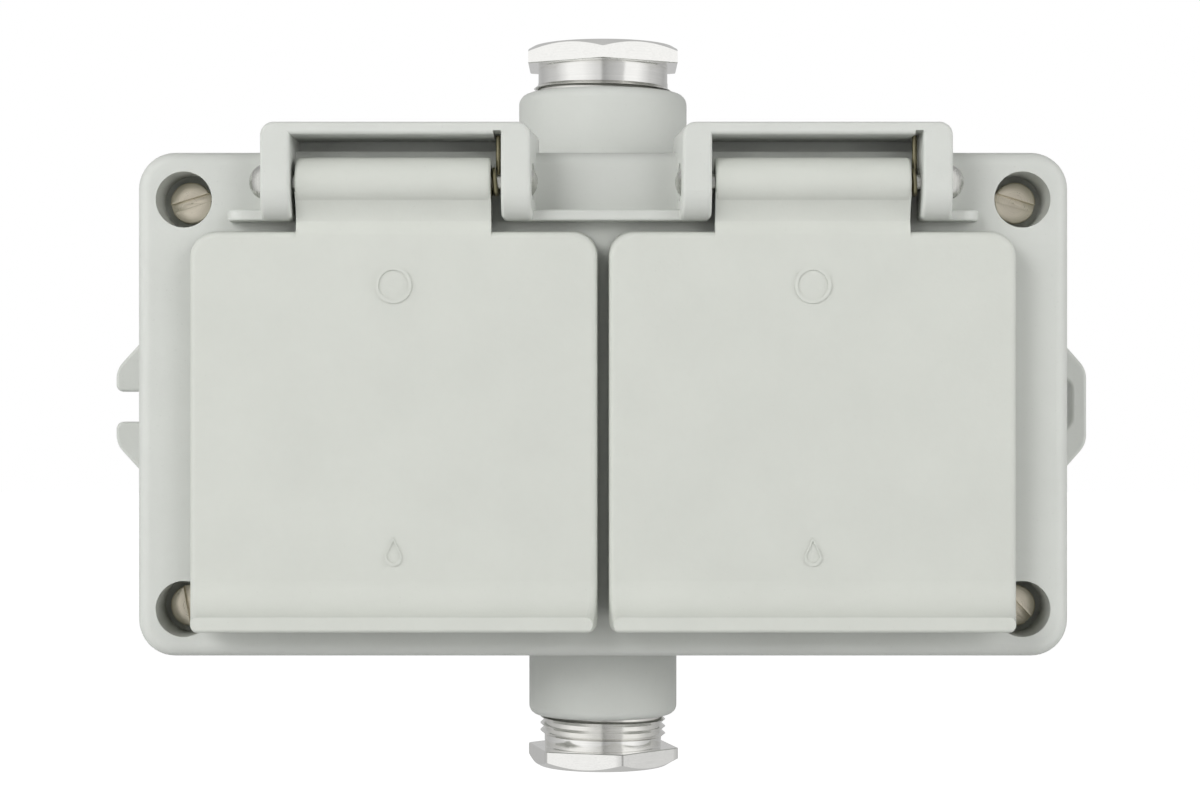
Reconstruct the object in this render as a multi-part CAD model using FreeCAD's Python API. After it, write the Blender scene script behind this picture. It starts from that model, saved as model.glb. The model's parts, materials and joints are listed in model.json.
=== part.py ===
import FreeCAD, Part
import math
import os

# Outdoor weatherproof double socket in a painted die-cast housing.
# Lengths are in millimetres. X runs to the right, Z runs up and the front faces -Y.
# The origin is at the middle of the back, on the wall. A depth is measured from the wall
# towards the front, so a point at depth d has y = -d.

V = FreeCAD.Vector

# Cutting shapes run this far past the face that they open
past = 1.0

# Edges that get a round are found within this distance
near = 0.01

# Cover
cover_width = 142.5
cover_height = 77.2
cover_corner = 5.6
cover_wall = 3.0
cover_edge_round = 2.0
skirt_wall = 1.55
skirt_overlap = 1.0
skirt_gap = 0.2

# Base box
base_wall = 2.8
base_floor = 3.0
base_back_round = 1.2

# Gasket between base and cover
gasket_thickness = 1.0
gasket_width = 1.9

# Cover screws, M4 with a slotted cheese head
screw_inset_x = 7.15
screw_inset_z = 7.3
screw_shank = 4.0
screw_head = 6.4
screw_head_height = 2.4
screw_engagement = 11.0
screw_slot_width = 1.3
screw_slot_depth = 1.0
screw_slot_angles = {(-1, 1): 17.6, (1, 1): -17.0, (-1, -1): -79.5, (1, -1): -47.0}
screw_hole = 8.6
screw_seat_thickness = 2.2
screw_collar_wall = 1.6
pillar_radius = 4.6
thread_gap = 0.05
screw_pass_gap = 0.2

# Wall lugs on the base
left_lug_length = 12.3
right_lug_length = 11.8
lug_thickness = 4.0
lug_root_half = 19.8
lug_tip_half = 6.3
lug_z = -0.5
lug_tip_round = 4.0
lug_mouth_round = 1.2
lug_edge_round = 0.6
lug_slot_width = 5.05
lug_slot_inset = 5.1
lug_slot_length = 9.1
lug_slot_corner = 2.4

# Cable bosses and glands. Each row is one end of the base.
gland_depth = 17.0
boss_rim_gap = 1.35
boss_length = 13.55
top_gland = {
    "side": 1, "boss": 27.3, "boss_round": 1.8, "thread": 22.5, "neck": 20.8, "across_flats": 24.0,
    "hex_turn": 0.0, "cable": 15.0, "seal_hole": 12.0, "thread_shown": 1.7, "neck_shown": 2.6,
    "hex_height": 3.3,
}
bottom_gland = {
    "side": -1, "boss": 24.0, "boss_round": 1.5, "thread": 20.4, "neck": 19.2, "across_flats": 22.0,
    "hex_turn": 14.0, "cable": 13.0, "seal_hole": 10.0, "thread_shown": 3.4, "neck_shown": 1.8,
    "hex_height": 3.0,
}
gland_bore_length = 12.0
gland_seal_height = 5.0
gland_washer_height = 1.0
gland_seal_gap = 0.1
gland_chamfer = 1.1
hexagon_sides = 6

# Two lids, one for each socket
unit_pitch = 63.2
socket_z = -4.2
lid_rim_width = 61.6
lid_shoulder_inset = 0.2
lid_lip_inset = 1.6
lid_rim_gap = 1.0
lid_thickness = 5.0
lid_above = 30.6
lid_below = 29.9
lid_top_draft = 0.9
lid_shoulder_draft = 0.4
lid_shoulder_setback = 1.0
lid_wall = 2.0
lid_bottom_wall = 1.7
lid_corner = 3.75
lid_lower_corner = 1.2
lid_face_round = 1.0
lip_rise = 3.8
lip_height = 7.5
lip_flat = 2.3
lip_edge = 2.2
lip_overhang = 1.4
lip_bottom_round = 0.6

# Hinge: a hood of two ears and a bar cast on the cover, a barrel on the lid and a riveted pin
hinge_rise = 4.3
hinge_above_lid = 7.2
hood_width = 40.4
hood_draft = 0.6
hood_opening = 31.6
hood_shift = 0.5
hood_above = 8.7
hood_bar = 1.9
hood_reach = 4.7
hood_lap = 6.0
hood_wall = 2.0
hood_corner = 2.0
hood_edge_round = 0.6
hood_foot_round = 0.9
hood_swing = 4.2
barrel_length = 29.4
barrel_radius = 3.7
barrel_end_round = 0.5
arm_thickness = 3.6
arm_waist_dip = 0.6
arm_waist_rise = 1.0
arm_foot_drop = 3.0
arm_joint_angle = -29
arm_lap = 0.02
pin_diameter = 2.4
pin_gap = 0.05
pin_head = 5.4
pin_head_height = 2.1
pin_rivet = 4.2
pin_rivet_height = 0.9
pin_seat_gap = 0.2

# Torsion spring in the right end of the barrel, with one leg up to the hood
spring_wire = 0.8
spring_sides = 8
spring_radius = 1.85
spring_turns = 4
spring_pitch = 0.9
spring_pocket_radius = 2.7
spring_pocket_length = 5.0
spring_notch_height = 0.6
spring_leg_gap = 0.2

# Rain ledge across the cover above the lids
ledge_half = 57.1
ledge_reach = 4.0
ledge_gap = 1.4
ledge_height = 1.7
ledge_corner = 2.5
ledge_round = 0.4

# Sealing collar on the cover's face round each socket, and the ring in the lid that lies on it
collar_height = 2.0
collar_wall = 3.5
socket_hole = 44.0
seal_overhang = 1.0
seal_gap = 0.05

# Socket pot, for a round plug with two 4.8 mm pins 19 mm apart and side earth clips
pot_gap = 0.2
pot_front_setback = 0.5
recess_diameter = 40.0
recess_length = 17.5
pot_floor = 2.5
pin_spacing = 19.0
pin_hole = 5.0
plug_pin_length = 19.0
guide_width = 5.0
guide_height = 2.0
flange_width = 47.0
flange_corner = 5.0
flange_thickness = 2.5
pot_seal_thickness = 1.0
pot_screw_offset = 20.0
pot_screw_shank = 3.0
pot_screw_head = 5.4
pot_screw_head_height = 1.8
pot_screw_boss = 5.6
pot_screw_bite = 2.4
pot_centre_boss = 7.0
pot_centre_boss_height = 4.0

# Contact carrier and contacts behind the pot's floor
carrier_width = 38.0
carrier_height = 24.0
carrier_corner = 3.0
carrier_length = 12.0
carrier_screw_shank = 3.0
carrier_screw_head = 5.6
carrier_screw_head_height = 1.8
carrier_screw_turn = 90
sleeve_wall = 0.9
sleeve_gap = 0.05
terminal_block_length = 6.5
terminal_space = 4.0
terminal_block_width = 12.5
terminal_block_height = 8.0
terminal_screw_shank = 3.0
terminal_screw_head = 4.6
terminal_screw_head_height = 1.8
terminal_screw_bite = 2.6
wire_hole = 2.6
earth_strip = 1.0
earth_width = 5.0
earth_leg_z = 17.6
earth_clip_rise = 8.0
earth_clip_inset = 1.2
earth_tip_rise = 15.0
earth_tip_outset = 0.6
earth_slot_gap = 0.3
earth_terminal_z = 10.5
earth_terminal_width = 6.0

# Earth screw of the housing, on a boss of the base's floor
earth_screw_x = 14.0
earth_screw_z = -29.5
earth_boss_radius = 4.2
earth_boss_depth = 9.0
earth_screw_shank = 4.0
earth_screw_head = 7.0
earth_screw_head_height = 2.6
earth_screw_turn = 30
earth_screw_bite = 5.0
earth_washer_side = 8.0
earth_washer_thickness = 1.2

# Places worked out from the sizes above
block_back = base_floor + terminal_space
carrier_back = block_back + terminal_block_length
pot_back = carrier_back + carrier_length
recess_floor = pot_back + pot_floor
pot_front = recess_floor + recess_length
collar_top = pot_front + pot_front_setback
cover_depth = collar_top - collar_height
rim_depth = gland_depth + top_gland["boss"] / 2 + boss_rim_gap
unit_x = unit_pitch / 2
screw_x = cover_width / 2 - screw_inset_x
screw_z = cover_height / 2 - screw_inset_z
skirt_end = rim_depth - skirt_overlap
gasket_top = rim_depth + gasket_thickness
base_width = cover_width - 2 * (skirt_wall + skirt_gap)
base_height = cover_height - 2 * (skirt_wall + skirt_gap)
base_corner = cover_corner - skirt_wall - skirt_gap
boss_end = base_height / 2 + boss_length
cavity_width = base_width - 2 * gasket_width
cavity_height = base_height - 2 * gasket_width
cavity_corner = base_corner - gasket_width
cover_inside = cover_depth - cover_wall
screw_seat = rim_depth + screw_seat_thickness
collar_radius = socket_hole / 2 + collar_wall
pot_radius = socket_hole / 2 - pot_gap
flange_front = cover_inside - pot_seal_thickness
flange_back = flange_front - flange_thickness
pin_end = recess_floor - plug_pin_length
earth_clip_depth = recess_floor + earth_clip_rise
earth_tip_depth = recess_floor + earth_tip_rise
lid_shoulder_width = lid_rim_width - lid_shoulder_inset
lid_lip_width = lid_rim_width - lid_lip_inset
lid_rim_depth = cover_depth + lid_rim_gap
lid_face_depth = lid_rim_depth + lid_thickness
lid_lip_depth = lid_face_depth + lip_rise
lid_top = socket_z + lid_above
lid_bottom = socket_z - lid_below
lid_bottom_rear = lid_bottom + lip_overhang
lid_bend_top = lid_bottom + lip_height
lid_bend_bottom = lid_bottom + lip_flat
hinge_depth = cover_depth + hinge_rise
hinge_z = lid_top + hinge_above_lid
hood_front = hinge_depth + hood_reach
hood_back = cover_depth - hood_lap
hood_top = hinge_z + hood_above
hood_ceiling = hood_top - hood_bar
ledge_front = cover_depth + ledge_reach
ledge_bottom = lid_top + ledge_gap
barrel_half = barrel_length / 2


def at(x, depth, z):
    """Point at a depth from the wall."""
    return V(x, -depth, z)


def outline(place, start, *steps):
    """Closed wire. A step is a point, or a pair of points for an arc through the first one."""
    edges = []
    here = start
    for step in steps + (start,):
        if isinstance(step[0], tuple):
            middle, there = step
            edges.append(Part.Arc(place(*here), place(*middle), place(*there)).toShape())
        else:
            there = step
            if there != here:
                edges.append(Part.LineSegment(place(*here), place(*there)).toShape())
        here = there
    return Part.Wire(edges)


def corner(centre_a, centre_b, radius, degrees):
    """Point on a round corner."""
    angle = math.radians(degrees)
    return (centre_a + radius * math.cos(angle), centre_b + radius * math.sin(angle))


def rounded_wire(width, bottom, top, upper_corner, lower_corner, depth, cx):
    """Rectangle with round corners, seen from the front, centred on cx."""
    half = width / 2
    upper = top - upper_corner
    lower = bottom + lower_corner
    right_up = half - upper_corner
    right_low = half - lower_corner

    def place(x, z):
        return at(cx + x, depth, z)

    return outline(
        place,
        (half, lower),
        (half, upper),
        (corner(right_up, upper, upper_corner, 45), (right_up, top)),
        (-right_up, top),
        (corner(-right_up, upper, upper_corner, 135), (-half, upper)),
        (-half, lower),
        (corner(-right_low, lower, lower_corner, 225), (-right_low, bottom)),
        (right_low, bottom),
        (corner(right_low, lower, lower_corner, 315), (half, lower)),
    )


def block(width, height, radius, depth0, depth1, cx=0.0, cz=0.0):
    """Round-cornered block between two depths, centred on cx and cz."""
    wire = rounded_wire(width, cz - height / 2, cz + height / 2, radius, radius, depth0, cx)
    return Part.Face(wire).extrude(V(0, depth0 - depth1, 0))


def box(x0, x1, depth0, depth1, z0, z1):
    """Plain box between two corners."""
    return Part.makeBox(x1 - x0, depth1 - depth0, z1 - z0, at(x0, depth1, z0))


def rod_y(cx, cz, radius, depth0, depth1):
    """Cylinder that points to the front."""
    return Part.makeCylinder(radius, depth1 - depth0, at(cx, depth0, cz), V(0, -1, 0))


def rod_z(cx, depth, radius, z0, z1):
    """Upright cylinder."""
    return Part.makeCylinder(radius, z1 - z0, at(cx, depth, z0), V(0, 0, 1))


def rod_x(depth, cz, radius, x0, x1):
    """Cylinder that points to the right."""
    return Part.makeCylinder(radius, x1 - x0, at(x0, depth, cz), V(1, 0, 0))


def side_plate(x0, x1, start, *steps):
    """Side outline of (depth, z) points, made as thick as the stretch from x0 to x1."""
    wire = outline(lambda depth, z: at(x0, depth, z), start, *steps)
    return Part.Face(wire).extrude(V(x1 - x0, 0, 0))


def edges_at(shape, test):
    """Edges of a shape whose every end and middle point passes a test of x, depth and z."""
    found = []
    for edge in shape.Edges:
        points = [vertex.Point for vertex in edge.Vertexes]
        points.append(edge.CenterOfMass)
        if all(test(p.x, -p.y, p.z) for p in points):
            found.append(edge)
    return found


def at_depth(depth):
    """Test for points at one depth."""
    return lambda x, d, z: abs(d - depth) < near


def slotted_screw(cx, cz, head, head_height, shank, seat, length, turn, way=1):
    """Cheese-head screw along Y. way is 1 with its head to the front, -1 to the wall."""
    tip = seat - way * length
    top = seat + way * head_height
    body = rod_y(cx, cz, head / 2, min(seat, top), max(seat, top))
    body = body.fuse(rod_y(cx, cz, shank / 2, min(seat, tip), max(seat, tip)))
    floor = top - way * screw_slot_depth
    end = top + way * past
    slot = box(cx - head, cx + head, min(floor, end), max(floor, end),
               cz - screw_slot_width / 2, cz + screw_slot_width / 2)
    slot.rotate(at(cx, 0, cz), V(0, -1, 0), turn)
    return body.cut(slot).removeSplitter()


def cover_screws():
    """Four screws that hold the cover on the base."""
    screws = []
    for (side_x, side_z), turn in screw_slot_angles.items():
        screws.append(slotted_screw(side_x * screw_x, side_z * screw_z, screw_head,
                                    screw_head_height, screw_shank, screw_seat,
                                    screw_seat_thickness + screw_engagement, turn))
    return screws


def wall_lug(side, length, slot):
    """Tapered lug on one side of the base, with its slot cut and its front edges rounded."""
    root = side * (base_width / 2 - base_wall)
    foot = side * base_width / 2
    tip = foot + side * length
    top = lug_z + lug_tip_half
    bottom = lug_z - lug_tip_half

    def place(x, z):
        return at(x, 0, z)

    wire = outline(place, (root, lug_z + lug_root_half), (foot, lug_z + lug_root_half),
                   (tip, top), (tip, bottom), (foot, lug_z - lug_root_half),
                   (root, lug_z - lug_root_half))
    body = Part.Face(wire).extrude(V(0, -lug_thickness, 0))
    body = body.makeFillet(lug_tip_round, edges_at(
        body, lambda x, d, z: abs(x - tip) < near and min(abs(z - top), abs(z - bottom)) < near))
    body = body.cut(slot)
    mouth = edges_at(body, lambda x, d, z: abs(x - tip) < near and
                     abs(abs(z - lug_z) - lug_slot_width / 2) < near)
    if mouth:
        body = body.makeFillet(lug_mouth_round, mouth)
    return body.makeFillet(lug_edge_round, edges_at(body, at_depth(lug_thickness)))


def wall_lugs():
    """Left lug with a slot open to the side, right lug with an upright closed slot."""
    left_tip = base_width / 2 + left_lug_length
    half_slot = lug_slot_width / 2
    slot_end = -left_tip + lug_slot_inset
    open_slot = box(-left_tip - past, slot_end, -past, lug_thickness + past, lug_z - half_slot,
                    lug_z + half_slot).fuse(rod_y(slot_end, lug_z, half_slot, -past,
                                                  lug_thickness + past))
    closed_slot = block(lug_slot_width, lug_slot_length, lug_slot_corner, -past,
                        lug_thickness + past, base_width / 2 + right_lug_length - lug_slot_inset)
    return wall_lug(-1, left_lug_length, open_slot), wall_lug(1, right_lug_length, closed_slot)


def gland_places(gland):
    """Heights of the gland's pieces, as distances from the middle of the base."""
    shoulder = boss_end - gland_bore_length
    washer = shoulder + gland_seal_height
    screw = washer + gland_washer_height
    neck = boss_end + gland["thread_shown"]
    head = neck + gland["neck_shown"]
    return shoulder, washer, screw, neck, head, head + gland["hex_height"]


def along(side, radius, z0, z1, depth=gland_depth):
    """Cylinder on a gland's axis between two distances from the middle."""
    return rod_z(0, depth, radius, min(side * z0, side * z1), max(side * z0, side * z1))


def boss(gland):
    """Round cable boss of the base, before its bore."""
    side = gland["side"]
    body = along(side, gland["boss"] / 2, base_height / 2 - base_wall, boss_end)
    rim = edges_at(body, lambda x, d, z: abs(z - side * boss_end) < near)
    return body.makeFillet(gland["boss_round"], rim)


def base_box():
    """Die-cast base with its screw pillars, wall lugs, earth boss and two cable bosses."""
    body = block(base_width, base_height, base_corner, 0, rim_depth)
    body = body.makeFillet(base_back_round, edges_at(body, at_depth(0)))
    hollow = block(base_width - 2 * base_wall, base_height - 2 * base_wall,
                   base_corner - base_wall + past, base_floor, rim_depth + past)
    outer = body
    body = body.cut(hollow)
    for side_x in (-1, 1):
        for side_z in (-1, 1):
            pillar = rod_y(side_x * screw_x, side_z * screw_z, pillar_radius, past, rim_depth)
            body = body.fuse(pillar.common(outer))
    body = body.fuse(rod_y(earth_screw_x, earth_screw_z, earth_boss_radius, past,
                           earth_boss_depth))
    for lug in wall_lugs():
        body = body.fuse(lug)
    for gland in (top_gland, bottom_gland):
        body = body.fuse(boss(gland).cut(hollow))
    for gland in (top_gland, bottom_gland):
        side = gland["side"]
        shoulder = gland_places(gland)[0]
        inner = base_height / 2 - base_wall - past
        body = body.cut(along(side, gland["cable"] / 2, inner, boss_end))
        body = body.cut(along(side, gland["thread"] / 2 + thread_gap, shoulder, boss_end + past))
    for side_x in (-1, 1):
        for side_z in (-1, 1):
            end = rim_depth - screw_engagement - past
            body = body.cut(rod_y(side_x * screw_x, side_z * screw_z,
                                  screw_shank / 2 + thread_gap, end, rim_depth + past))
    body = body.cut(rod_y(earth_screw_x, earth_screw_z, earth_screw_shank / 2 + thread_gap,
                          earth_boss_depth - earth_screw_bite - thread_gap,
                          earth_boss_depth + past))
    return body.removeSplitter()


def cover_gasket():
    """Flat ring on the base's rim."""
    ring = block(base_width, base_height, base_corner, rim_depth, gasket_top)
    return ring.cut(block(cavity_width, cavity_height, cavity_corner, rim_depth - past,
                          gasket_top + past))


def hood_hole(cx):
    """Opening of a hood for the lid's arm. Its lower corners are flared."""
    half = hood_opening / 2
    foot = ledge_bottom
    centre = cx + hood_shift
    flare = half + hood_foot_round
    rise = foot + hood_foot_round
    left = corner(-flare, rise, hood_foot_round, 315)
    right = corner(flare, rise, hood_foot_round, 225)
    wire = outline(lambda x, z: at(centre + x, cover_depth, z),
                   (-half, rise), (-half, hood_ceiling), (half, hood_ceiling), (half, rise),
                   (right, (flare, foot)), (flare, foot - past), (-flare, foot - past),
                   (-flare, foot), (left, (-half, rise)))
    return Part.Face(wire).extrude(V(0, cover_depth - hood_front - past, 0))


def hood_half(depth):
    """Half the width of a hood at a depth. Its outer sides are drafted."""
    return hood_width / 2 + hood_draft * (hood_front - depth) / (hood_front - cover_depth)


def hood(cx):
    """Two ears and a bar that guard the hinge, with the opening for the lid's arm."""
    centre = cx + hood_shift
    foot = ledge_bottom
    bend = foot + hood_swing
    rear = corner(hood_back + hood_corner, hood_top - hood_corner, hood_corner, 135)
    slant = math.cos(math.radians(45))
    swing = (ledge_front + slant * (hood_front - ledge_front), bend - slant * hood_swing)
    root = hood_back - past
    profile = side_plate(centre - hood_half(root), centre + hood_half(root),
                         (cover_inside + past, foot), (ledge_front, foot),
                         (swing, (hood_front, bend)), (hood_front, hood_top),
                         (hood_back + hood_corner, hood_top),
                         (rear, (hood_back, hood_top - hood_corner)),
                         (hood_back, cover_height / 2 - cover_edge_round))
    wires = [rounded_wire(2 * hood_half(depth), foot - hood_top, hood_top, hood_corner,
                          hood_corner, depth, centre) for depth in (root, hood_front + past)]
    body = profile.common(Part.makeLoft(wires, True, True)).cut(hood_hole(cx))
    return body.makeFillet(hood_edge_round, edges_at(body, at_depth(hood_front)))


def rain_ledge():
    """Narrow shelf across the cover that throws rain clear of the lids."""
    side = ledge_half - ledge_corner
    shoulder = ledge_front - ledge_corner
    wire = outline(lambda x, depth: at(x, depth, ledge_bottom),
                   (-ledge_half, cover_inside + past), (-ledge_half, shoulder),
                   (corner(-side, shoulder, ledge_corner, 135), (-side, ledge_front)),
                   (side, ledge_front),
                   (corner(side, shoulder, ledge_corner, 45), (ledge_half, shoulder)),
                   (ledge_half, cover_inside + past))
    shelf = Part.Face(wire).extrude(V(0, 0, ledge_height))
    lips = edges_at(shelf, lambda x, d, z: d > cover_depth and
                    min(abs(z - ledge_bottom), abs(z - ledge_bottom - ledge_height)) < near)
    return shelf.makeFillet(ledge_round, lips)


def cover():
    """Die-cast cover with hoods, ledge, sealing collars and sunk screw holes."""
    body = block(cover_width, cover_height, cover_corner, skirt_end, cover_depth)
    body = body.makeFillet(cover_edge_round, edges_at(body, at_depth(cover_depth)))
    outer = body
    cavity = block(cavity_width, cavity_height, cavity_corner, skirt_end - past, cover_inside)
    rebate = block(base_width + 2 * skirt_gap, base_height + 2 * skirt_gap,
                   base_corner + skirt_gap, skirt_end - past, gasket_top)
    additions = [rain_ledge()]
    for cx in (-unit_x, unit_x):
        additions.append(hood(cx))
        additions.append(rod_y(cx, socket_z, collar_radius, cover_depth - past, collar_top))
    body = body.fuse(additions).cut(cavity.fuse(rebate))
    pad_limit = block(cavity_width - 2 * skirt_gap, cavity_height - 2 * skirt_gap,
                      cavity_corner, rim_depth, gasket_top)
    collar = screw_hole / 2 + screw_collar_wall
    for side_x in (-1, 1):
        for side_z in (-1, 1):
            x = side_x * screw_x
            z = side_z * screw_z
            body = body.fuse(rod_y(x, z, collar, gasket_top, cover_inside + past).common(outer))
            body = body.fuse(rod_y(x, z, collar, rim_depth, gasket_top).common(pad_limit))
            body = body.cut(rod_y(x, z, screw_hole / 2, screw_seat, cover_depth + past))
            body = body.cut(rod_y(x, z, screw_shank / 2 + screw_pass_gap, rim_depth - past,
                                  cover_depth))
    for cx in (-unit_x, unit_x):
        body = finish_unit(body, cx)
    return body.removeSplitter()


def finish_unit(body, cx):
    """Bosses, holes and openings of the cover for one socket and its hinge."""
    for x, z in pot_screw_places(cx):
        body = body.fuse(rod_y(x, z, pot_screw_boss / 2, flange_front, cover_inside + past))
        body = body.cut(rod_y(x, z, pot_screw_shank / 2 + thread_gap, flange_front - past,
                              flange_front + pot_screw_bite + thread_gap))
    body = body.cut(rod_y(cx, socket_z, socket_hole / 2, flange_back, collar_top + past))
    end = cx + hood_shift + hood_opening / 2
    body = body.cut(hood_hole(cx))
    body = body.cut(box(end - hood_opening, end, hood_back + hood_wall, cover_depth + past,
                        cover_height / 2, hood_ceiling))
    for side in (-1, 1):
        seat = hood_seat(cx, side)
        clear = seat + side * hood_lap
        body = body.cut(rod_x(hinge_depth, hinge_z, pin_head / 2 + pin_seat_gap,
                              min(seat, clear), max(seat, clear)))
    body = body.cut(rod_x(hinge_depth, hinge_z, pin_diameter / 2 + pin_gap, hood_seat(cx, -1),
                          hood_seat(cx, 1)))
    return body.cut(box(end - spring_wire - 2 * spring_leg_gap, end, cover_depth,
                        hood_front + past, hood_ceiling - past,
                        hood_ceiling + spring_notch_height))


def hood_seat(cx, side):
    """Flat seat of the hinge pin's head on an ear's drafted side."""
    return cx + hood_shift + side * hood_half(hinge_depth + pin_head / 2)


def pot_screw_places(cx):
    """Two opposite corners of the pot's flange."""
    return [(cx - pot_screw_offset, socket_z + pot_screw_offset),
            (cx + pot_screw_offset, socket_z - pot_screw_offset)]


def pot_screws(cx):
    """Screws that hold the pot to the cover, from behind."""
    return [slotted_screw(x, z, pot_screw_head, pot_screw_head_height, pot_screw_shank,
                          flange_back, flange_thickness + pot_screw_bite, 0, way=-1)
            for x, z in pot_screw_places(cx)]


def pot_seal(cx):
    """Flat seal between the pot's flange and the cover."""
    body = block(flange_width, flange_width, flange_corner, flange_front, cover_inside, cx,
                 socket_z)
    body = body.cut(rod_y(cx, socket_z, socket_hole / 2, flange_front - past,
                          cover_inside + past))
    for x, z in pot_screw_places(cx):
        body = body.cut(rod_y(x, z, pot_screw_boss / 2 + screw_pass_gap, flange_front - past,
                              cover_inside + past))
    return body


def socket_pot(cx):
    """Moulded pot with the plug recess, guide ribs, pin holes and slots for the earth clips."""
    body = rod_y(cx, socket_z, pot_radius, pot_back, pot_front)
    body = body.fuse(block(flange_width, flange_width, flange_corner, flange_back, flange_front,
                           cx, socket_z))
    body = body.fuse(rod_y(cx, socket_z, pot_centre_boss / 2, pot_back - pot_centre_boss_height,
                           pot_back))
    recess = rod_y(cx, socket_z, recess_diameter / 2, recess_floor, pot_front + past)
    for side in (-1, 1):
        wall = side * recess_diameter / 2
        inner = wall - side * guide_height
        rib = box(cx + min(wall, inner), cx + max(wall, inner), recess_floor, pot_front,
                  socket_z - guide_width / 2, socket_z + guide_width / 2)
        recess = recess.cut(rib)
    body = body.cut(recess)
    for side in (-1, 1):
        x = cx + side * pin_spacing / 2
        body = body.cut(rod_y(x, socket_z, pin_hole / 2, pot_back - past, recess_floor + past))
        leg = socket_z + side * (earth_leg_z + earth_strip / 2)
        half = earth_strip / 2 + earth_slot_gap
        body = body.cut(box(cx - earth_width / 2 - earth_slot_gap,
                            cx + earth_width / 2 + earth_slot_gap, pot_back - past,
                            recess_floor + past, leg - half, leg + half))
    for x, z in pot_screw_places(cx):
        body = body.cut(rod_y(x, z, pot_screw_shank / 2 + thread_gap, flange_back - past,
                              flange_front + past))
    depth = pot_centre_boss_height + pot_floor / 2
    return body.cut(rod_y(cx, socket_z, carrier_screw_shank / 2 + thread_gap,
                          pot_back - pot_centre_boss_height - past,
                          pot_back - pot_centre_boss_height + depth))


def contact_carrier(cx):
    """Insulating block that holds the contacts behind the pot."""
    body = block(carrier_width, carrier_height, carrier_corner, carrier_back, pot_back, cx,
                 socket_z)
    body = body.cut(rod_y(cx, socket_z, pot_centre_boss / 2 + screw_pass_gap,
                          pot_back - pot_centre_boss_height, pot_back + past))
    body = body.cut(rod_y(cx, socket_z, carrier_screw_shank / 2 + screw_pass_gap,
                          carrier_back - past, pot_back))
    for side in (-1, 1):
        body = body.cut(rod_y(cx + side * pin_spacing / 2, socket_z,
                              pin_hole / 2 + sleeve_wall + sleeve_gap, carrier_back - past,
                              pot_back + past))
    return body


def contact(cx, side):
    """Sleeve for one plug pin with its terminal block at the back."""
    x = cx + side * pin_spacing / 2
    body = rod_y(x, socket_z, pin_hole / 2 + sleeve_wall, carrier_back, pot_back)
    inner = x - side * (pin_hole / 2 + sleeve_wall)
    outer = inner + side * terminal_block_width
    half = terminal_block_height / 2
    body = body.fuse(box(min(inner, outer), max(inner, outer), block_back, carrier_back,
                         socket_z - half, socket_z + half))
    body = body.cut(rod_y(x, socket_z, pin_hole / 2, pin_end, pot_back + past))
    screw = terminal_x(cx, side)
    body = body.cut(rod_y(screw, socket_z, terminal_screw_shank / 2 + thread_gap,
                          block_back - past, block_back + terminal_screw_bite))
    wire = block_back + terminal_screw_bite + wire_hole / 2
    return body.cut(rod_z(screw, wire, wire_hole / 2, socket_z - half - past,
                          socket_z + half + past))


def terminal_x(cx, side):
    """Place of a terminal screw, in the outer end of its block."""
    edge = pin_spacing / 2 - pin_hole / 2 - sleeve_wall + terminal_block_width
    return cx + side * (edge - terminal_screw_head / 2)


def terminal_screws(cx):
    """Line, neutral and earth terminal screws."""
    places = [(terminal_x(cx, -1), socket_z), (terminal_x(cx, 1), socket_z),
              (cx, socket_z + earth_terminal_z)]
    return [slotted_screw(x, z, terminal_screw_head, terminal_screw_head_height,
                          terminal_screw_shank, block_back, terminal_screw_bite, 0, way=-1)
            for x, z in places]


def earth_contact(cx):
    """Spring strip with an earth clip at the top and bottom of the recess."""
    x0 = cx - earth_width / 2
    x1 = cx + earth_width / 2
    strap_back = carrier_back - earth_strip
    body = box(x0, x1, strap_back, carrier_back, socket_z - earth_leg_z - earth_strip,
               socket_z + earth_leg_z + earth_strip)
    for side in (-1, 1):
        inside = socket_z + side * earth_leg_z
        bump = inside - side * earth_clip_inset
        tip = inside + side * earth_tip_outset
        strip = side * earth_strip
        body = body.fuse(side_plate(x0, x1, (strap_back, inside), (recess_floor, inside),
                                    (earth_clip_depth, bump), (earth_tip_depth, tip),
                                    (earth_tip_depth, tip + strip),
                                    (earth_clip_depth, bump + strip),
                                    (recess_floor, inside + strip), (strap_back, inside + strip)))
    z = socket_z + earth_terminal_z
    half = earth_terminal_width / 2
    body = body.fuse(box(cx - half, cx + half, block_back, strap_back, z - half, z + half))
    body = body.cut(rod_y(cx, z, terminal_screw_shank / 2 + thread_gap, block_back - past,
                          block_back + terminal_screw_bite))
    return body.cut(rod_y(cx, socket_z, carrier_screw_shank / 2 + screw_pass_gap,
                          strap_back - past, carrier_back + past))


def carrier_screw(cx):
    """Screw that holds the earth strip and the carrier to the pot."""
    seat = carrier_back - earth_strip
    length = pot_back + pot_floor / 2 - seat - thread_gap
    return slotted_screw(cx, socket_z, carrier_screw_head, carrier_screw_head_height,
                         carrier_screw_shank, seat, length, carrier_screw_turn, way=-1)


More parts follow.
